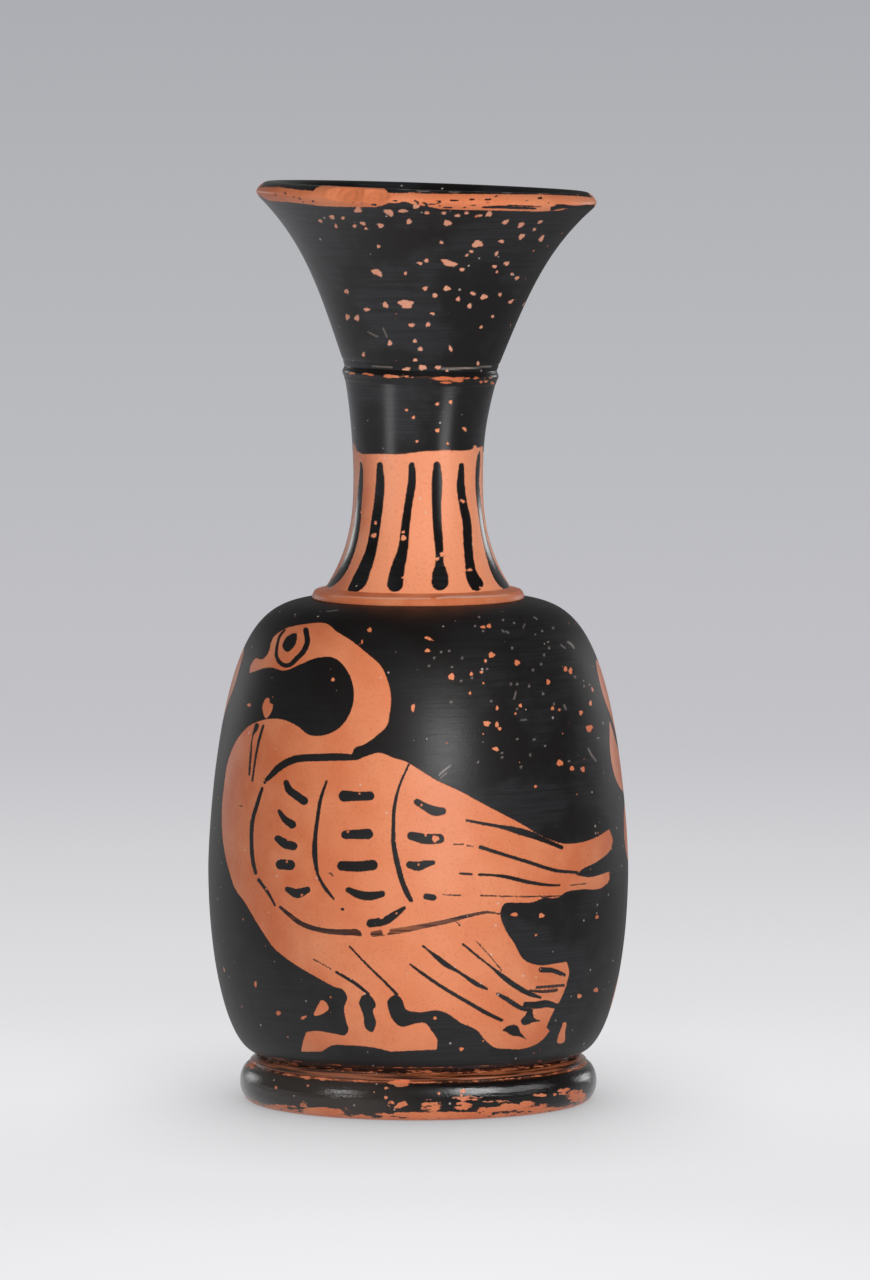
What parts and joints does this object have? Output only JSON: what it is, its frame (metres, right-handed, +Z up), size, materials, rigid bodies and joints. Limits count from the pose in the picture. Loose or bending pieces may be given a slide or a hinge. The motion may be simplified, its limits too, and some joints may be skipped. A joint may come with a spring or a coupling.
{
  "type": "miniature lekythos",
  "caption": "Small squat oil flask of black-glossed red clay with a flaring mouth, waisted neck, full body, turned foot and a strap handle behind.",
  "frame": {"origin": "centre of the foot's resting plane, on the axis of the body", "axes": "+Z up along the axis of the body, painted front towards -Y, handle towards +Y"},
  "size_m": [0.05, 0.05, 0.1096],
  "materials": {
    "black_gloss": "thin black clay gloss, burnished, worn through at edges",
    "fired_clay": "smooth fired red clay"
  },
  "bodies": {
    "root": {"foot": "black_gloss", "foot_luting": "fired_clay", "body": "black_gloss", "neck_fillet": "fired_clay", "neck": "fired_clay", "mouth_luting": "black_gloss", "mouth": "black_gloss", "handle": "black_gloss", "handle_top_luting": "black_gloss", "handle_root_luting": "black_gloss"}
  },
  "joints": []
}
